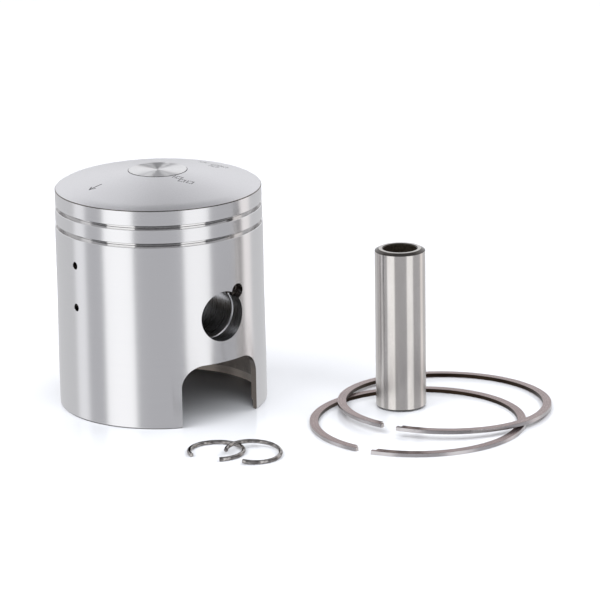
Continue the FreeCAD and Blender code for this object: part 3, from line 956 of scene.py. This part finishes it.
def cast_tone_and_painted_shade():
    """As cast, dark brown: partly the skin's own tone from the mould wash and machine oil, partly painted
    shade of the hollow inside the skirt.
    """
    paint = Paint("cast_tone_and_painted_shade").set(Metallic=0.6, IOR=1.5)
    pits = paint.grain(2.2, 4.0, 0.65)
    stain = paint.grain(0.16, 3.0, 0.5)
    color = paint.tones(stain, (0.060, 0.050, 0.042), (0.125, 0.108, 0.094), GRAIN)
    return paint.finish(color, paint.ramp(pits, 0.34, 0.55, LINES), paint.relief(pits, 0.12, 0.6))


def bored_alloy():
    """The pin bore, finely bored along Y."""
    paint = Paint("bored_alloy").set(Metallic=1.0)
    tones = ((0.74, 0.75, 0.77), (0.88, 0.89, 0.91))
    return lined_metal(paint, paint.lines(5.0, along_y=1.0), tones, (0.20, 0.32), (0.010, 0.8))


def cut_painted_shade():
    """Cut faces inside the skirt, in the notches and holes, and the crown's edge break: painted shade on the
    cut faces in the hollows, and a painted dark reflection along the edge break.
    """
    paint = Paint("cut_painted_shade").set(Metallic=1.0)
    tones = ((0.075, 0.064, 0.055), (0.16, 0.142, 0.128))
    return lined_metal(paint, paint.lines(3.5, height=1.0), tones, (0.16, 0.28), (0.01, 0.6))


def disc_alloy():
    """The centre spot of the crown, faced with a coarse tool, so that lamps draw narrow wedges on it."""
    paint = Paint("disc_alloy").set(Metallic=1.0).turned(1.0)
    tones = ((0.84, 0.84, 0.85), (0.92, 0.92, 0.93))
    return lined_metal(paint, paint.lines(5.0, radius=1.0), tones, (0.38, 0.46), (0.004, 0.6))


def groove_alloy(name, dark, light):
    """Ground smooth in the ring grooves: bright on the floors, duller on the walls that the rings rub."""
    paint = Paint(name).set(Metallic=1.0)
    fine = paint.lines(6.0, radius=1.0, height=1.0)
    return lined_metal(paint, fine, (dark, light), (0.06, 0.12), (0.002, 0.5))


def recess_painted_shade():
    """The arrow, the pen's dots and the groove round the centre spot: rough, bruised metal whose near-black
    colour is painted shade in these hollows.
    """
    tones = ((0.03, 0.03, 0.032), (0.07, 0.07, 0.073))
    return grained_metal("recess_painted_shade", 0.8, 9.0, tones, (0.4, 0.6), (0.02, 0.5))


def piston_finishes():
    """In the order of the names TURNED to RECESS_SHADE."""
    return [
        turned_alloy(),
        crown_alloy(),
        cast_tone_and_painted_shade(),
        bored_alloy(),
        cut_painted_shade(),
        disc_alloy(),
        groove_alloy("groove_floor", (0.92, 0.915, 0.915), (0.97, 0.97, 0.97)),
        groove_alloy("groove_wall", (0.66, 0.655, 0.655), (0.78, 0.775, 0.775)),
        recess_painted_shade(),
    ]


def pin_ground(centre):
    """Ground round and polished along the pin's outside."""
    paint = Paint("pin_ground", centre).set(Metallic=1.0).turned(0.95)
    fine = paint.lines(9.0, height=1.0)
    broad = paint.grain((0.25, 0.25, 0.05))
    color = paint.tones(broad, (0.665, 0.64, 0.615), (0.725, 0.70, 0.68), GRAIN)
    return paint.finish(color, paint.ramp(fine, 0.20, 0.25, LINES), paint.relief(fine, 0.0015, 0.5))


def pin_cut(centre):
    """Fine turned faces at the pin's ends, with a thin dark skin from the hardening."""
    paint = Paint("pin_cut", centre).set(Metallic=1.0)
    tones = ((0.44, 0.42, 0.40), (0.54, 0.52, 0.50))
    return lined_metal(paint, paint.lines(9.0, radius=1.0), tones, (0.10, 0.18), (0.003, 0.5))


def pin_chamfer_painted_shade(centre):
    """The long chamfers at both ends, near-black: painted shade, for the shadow that the chamfer at the foot
    lies in. The grinding of the outside doesn't reach them.
    """
    paint = Paint("pin_chamfer_painted_shade", centre).set(Metallic=0.85)
    tones = ((0.045, 0.040, 0.036), (0.085, 0.078, 0.072))
    return lined_metal(paint, paint.lines(7.0, radius=1.0), tones, (0.12, 0.2), (0.003, 0.5))


def pin_hollow_tone_and_shade(centre):
    """The drilled hollow, black-brown: partly its own scale, partly painted shade inside the hollow."""
    paint = Paint("pin_hollow_tone_and_shade", centre).set(Metallic=0.7, IOR=1.5)
    fine = paint.lines(4.0, height=1.0)
    grain = paint.grain(1.5, 4.0, 0.6)
    color = paint.tones(grain, (0.030, 0.024, 0.018), (0.065, 0.052, 0.040), GRAIN)
    return paint.finish(color, paint.ramp(grain, 0.3, 0.5, LINES), paint.relief(fine, 0.02, 0.6))


def pin_finishes():
    """In the order of the names PIN_SIDE to PIN_INSIDE."""
    centre = (*PIN_PLACE, FOOT)
    return [make(centre) for make in (pin_ground, pin_cut, pin_chamfer_painted_shade, pin_hollow_tone_and_shade)]


def ring_skin(name, centre, dark, light, rough, **along):
    """One finish of a ring, with fine round scratches over broad stains."""
    paint = Paint(name, centre).set(Metallic=1.0).turned(0.4)
    fine = paint.lines(8.0, **along)
    shade = paint.blend(0.5, fine, paint.grain(0.22, 3.0, 0.55))
    gloss = paint.ramp(fine, rough * 0.85, rough * 1.2, LINES)
    return paint.finish(paint.tones(shade, dark, light, STAIN), gloss, paint.relief(fine, 0.004, 0.6))


def ring_finishes(name):
    """In the order of the names RING_FACE to RING_END: lapped faces, ground outside, dark bore, cut ends."""
    centre = (*LAID[name][:2], FOOT)
    return [
        ring_skin(f"{name}_face", centre, (0.255, 0.193, 0.188), (0.325, 0.250, 0.243), 0.26, radius=1.0),
        ring_skin(f"{name}_outside", centre, (0.52, 0.497, 0.503), (0.61, 0.588, 0.597), 0.24, height=1.0),
        ring_skin(f"{name}_inside", centre, (0.018, 0.011, 0.007), (0.048, 0.034, 0.025), 0.34, height=1.0),
        ring_skin(f"{name}_end", centre, (0.55, 0.53, 0.52), (0.68, 0.66, 0.65), 0.30, height=1.0),
    ]


def clip_wire(name):
    """Drawn spring wire, dark with oil, with fine drawing lines along it."""
    paint = Paint(f"{name}_wire", (*LAID[name][:2], FOOT)).set(Metallic=1.0)
    fine = paint.lines(5.0, radius=1.0, height=1.7)
    color = paint.tones(paint.grain(0.5, 3.0, 0.55), (0.20, 0.186, 0.18), (0.52, 0.50, 0.49), STAIN)
    return paint.finish(color, paint.ramp(fine, 0.04, 0.09, LINES), paint.relief(fine, 0.004, 0.5))


def peg_steel():
    tones = ((0.48, 0.48, 0.49), (0.60, 0.60, 0.61))
    return grained_metal("peg_steel", 1.0, 5.0, tones, (0.22, 0.34), (0.004, 0.5))


# ---------------------------------------------------------------- studio, in metres

CAMERA_PLACE = (0.6264, 0.8620, 0.3060)
CAMERA_VIEW = (-0.5965, -0.7528, -0.2784)
CAMERA_ROLL = math.radians(-0.9552)
CAMERA_LENS = 207.79
CAMERA_SENSOR = 36.0
CAMERA_NEAR = 0.01


def add_camera():
    camera = linked("camera", bpy.data.cameras.new("camera"))
    camera.data.sensor_width = CAMERA_SENSOR
    camera.data.lens = CAMERA_LENS
    camera.data.clip_start = CAMERA_NEAR
    forward = Vector(CAMERA_VIEW).normalized()
    level = forward.cross(Vector((0, 0, 1))).normalized()
    upright = level.cross(forward)
    right = level * math.cos(CAMERA_ROLL) + upright * math.sin(CAMERA_ROLL)
    up = right.cross(forward)
    turn = Matrix((right, up, -forward)).transposed().to_4x4()
    camera.matrix_world = Matrix.Translation(CAMERA_PLACE) @ turn
    bpy.context.scene.camera = camera


# fields round the table: name, direction, half width, low edge, high edge, side softness, colour
# Angles are in degrees, and directions count from +X towards +Y. Later fields cover earlier ones.
FIELDS = (
    ("dark_horizon", 54.0, 110.0, 11.0, 34.0, 8.0, (0.07, 0.07, 0.075)),
    ("table_far", 234.0, 74.0, -30.0, -10.0, 8.0, (0.66, 0.66, 0.67)),
    ("backdrop", 234.0, 62.0, -3.0, 46.0, 16.0, (0.97, 0.97, 0.985)),
    # A dark field below the far horizon stands in for the table's shadow under the pieces: painted shadow in
    # what the metal mirrors.
    ("painted_shade_under_pieces", 234.0, 36.0, -75.0, -30.0, 16.0, (0.06, 0.055, 0.05)),
    ("front_ceiling_gap", 54.0, 60.0, 56.0, 76.0, 20.0, (0.02, 0.02, 0.02)),
    ("far_ceiling", 234.0, 60.0, 51.0, 78.0, 24.0, (0.27, 0.27, 0.28)),
    ("left_ceiling_lamp", 254.0, 8.0, 52.0, 58.0, 3.0, (3.6, 3.6, 3.6)),
    ("right_ceiling_lamp", 214.0, 6.0, 52.0, 56.0, 3.0, (2.4, 2.4, 2.4)),
    ("left_panel", 6.0, 18.0, -80.0, 50.0, 2.0, (1.20, 1.20, 1.21)),
    ("right_panel", 95.5, 15.5, -80.0, 50.0, 2.0, (1.13, 1.13, 1.14)),
    ("left_rim", -46.0, 9.0, -80.0, 50.0, 4.0, (0.95, 0.95, 0.97)),
    ("right_rim", 164.5, 9.5, -80.0, 50.0, 4.0, (1.0, 0.96, 0.95)),
)
FIELD_LOW_SOFT = 5.0
FIELD_HIGH_SOFT = 8.0
ROOM = (0.525, 0.525, 0.545)
CEILING = (0.48, 0.48, 0.49)
CEILING_STARTS = (34.0, 80.0)


def add_world():
    """What the metal mirrors: a grey room with bright panels round the table and a dim ceiling."""
    world = bpy.data.worlds.new("studio")
    bpy.context.scene.world = world
    world.use_nodes = True
    tree = Nodes(world.node_tree)
    degrees = 180 / math.pi
    view = tree.node("ShaderNodeTexCoord").outputs["Generated"]
    x, y, z = tree.node("ShaderNodeSeparateXYZ", {0: view}).outputs
    turn = tree.calc("MULTIPLY", tree.calc("ARCTAN2", y, x), degrees)
    rise = tree.calc("MULTIPLY", tree.calc("ARCSINE", z), degrees)
    color = tree.mix(tree.step(rise, *CEILING_STARTS), ROOM, CEILING)
    for _, direction, half, low, high, soft, shade in FIELDS:
        away = tree.calc("WRAP", tree.calc("SUBTRACT", turn, direction), 180.0, -180.0)
        beside = tree.step(tree.calc("ABSOLUTE", away), half - soft / 2, half + soft / 2)
        over = tree.step(rise, high - FIELD_HIGH_SOFT, high + FIELD_HIGH_SOFT)
        share = tree.step(rise, low - FIELD_LOW_SOFT, low + FIELD_LOW_SOFT)
        for outside in (over, beside):
            share = tree.calc("MULTIPLY", share, tree.calc("SUBTRACT", 1.0, outside))
        color = tree.mix(share, color, shade)
    tree.put(color, tree.nodes["Background"].inputs["Color"])
    tree.put(1.0, tree.nodes["Background"].inputs["Strength"])


FLOOR_HALF = 3000.0
FLOOR_THICK = 10.0
FLOOR_COLOR = (0.555, 0.565, 0.592, 1.0)


def add_floor():
    """A pale table that metal doesn't mirror, so that the skirt shows the fields of light to its foot."""
    corners = [(-1, -1), (1, -1), (1, 1), (-1, 1)]
    outline = [(x * FLOOR_HALF, y * FLOOR_HALF) for x, y in corners]
    floor = prism("floor", outline, FOOT - FLOOR_THICK, FOOT)
    floor.data.materials.append(Paint("white_table").set(Base_Color=FLOOR_COLOR, Roughness=0.17).material)
    floor.visible_glossy = False
    floor.visible_shadow = False


# name, place, size, watts, colour
LAMPS = (
    ("key", (1.15, -0.2, 1.4), 1.8, 42.0, (1.0, 1.0, 1.0)),
    ("front", (0.5, 1.2, 1.3), 1.6, 32.0, (0.97, 0.985, 1.0)),
    ("side", (-1.2, 0.3, 1.3), 1.4, 22.0, (1.0, 1.0, 1.0)),
)
LAMP_AIM = (0.0, 0.03, 0.0)


def add_lamp(name, place, size, watts, color):
    """A large soft lamp that lights the table but isn't mirrored in the metal."""
    lamp = linked(name, bpy.data.lights.new(name, "AREA"))
    lamp.data.shape = "DISK"
    lamp.data.size = size
    lamp.data.energy = watts
    lamp.data.color = color
    lamp.location = place
    lamp.rotation_euler = (Vector(LAMP_AIM) - Vector(place)).to_track_quat("-Z", "Y").to_euler()
    lamp.visible_glossy = False


# ---------------------------------------------------------------- the scene

add_camera()
add_world()
add_floor()
for lamp in LAMPS:
    add_lamp(*lamp)

bpy.context.scene.view_settings.view_transform = "Standard"

# piece, body, CAD node, slot
pieces = [
    (make_piston(piston_finishes()), "piston", "piston_body", "piston_alloy"),
    (make_wrist_pin(pin_finishes()), "wrist_pin", "wrist_pin", "pin_steel"),
]
for name in ("top_ring", "second_ring"):
    pieces.append((make_ring(name, ring_finishes(name)), name, name, "ring_iron"))
for name in ("front_circlip", "rear_circlip"):
    pieces.append((make_circlip(name, [clip_wire(name)]), name, name, "spring_steel"))
for piece, body, node, slot_name in pieces:
    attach(piece, body)
    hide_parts(node)

peg_finish = peg_steel()
for name in ("top_ring_peg", "second_ring_peg"):
    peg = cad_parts[name]
    peg.data.materials.clear()
    peg.data.materials.append(peg_finish)
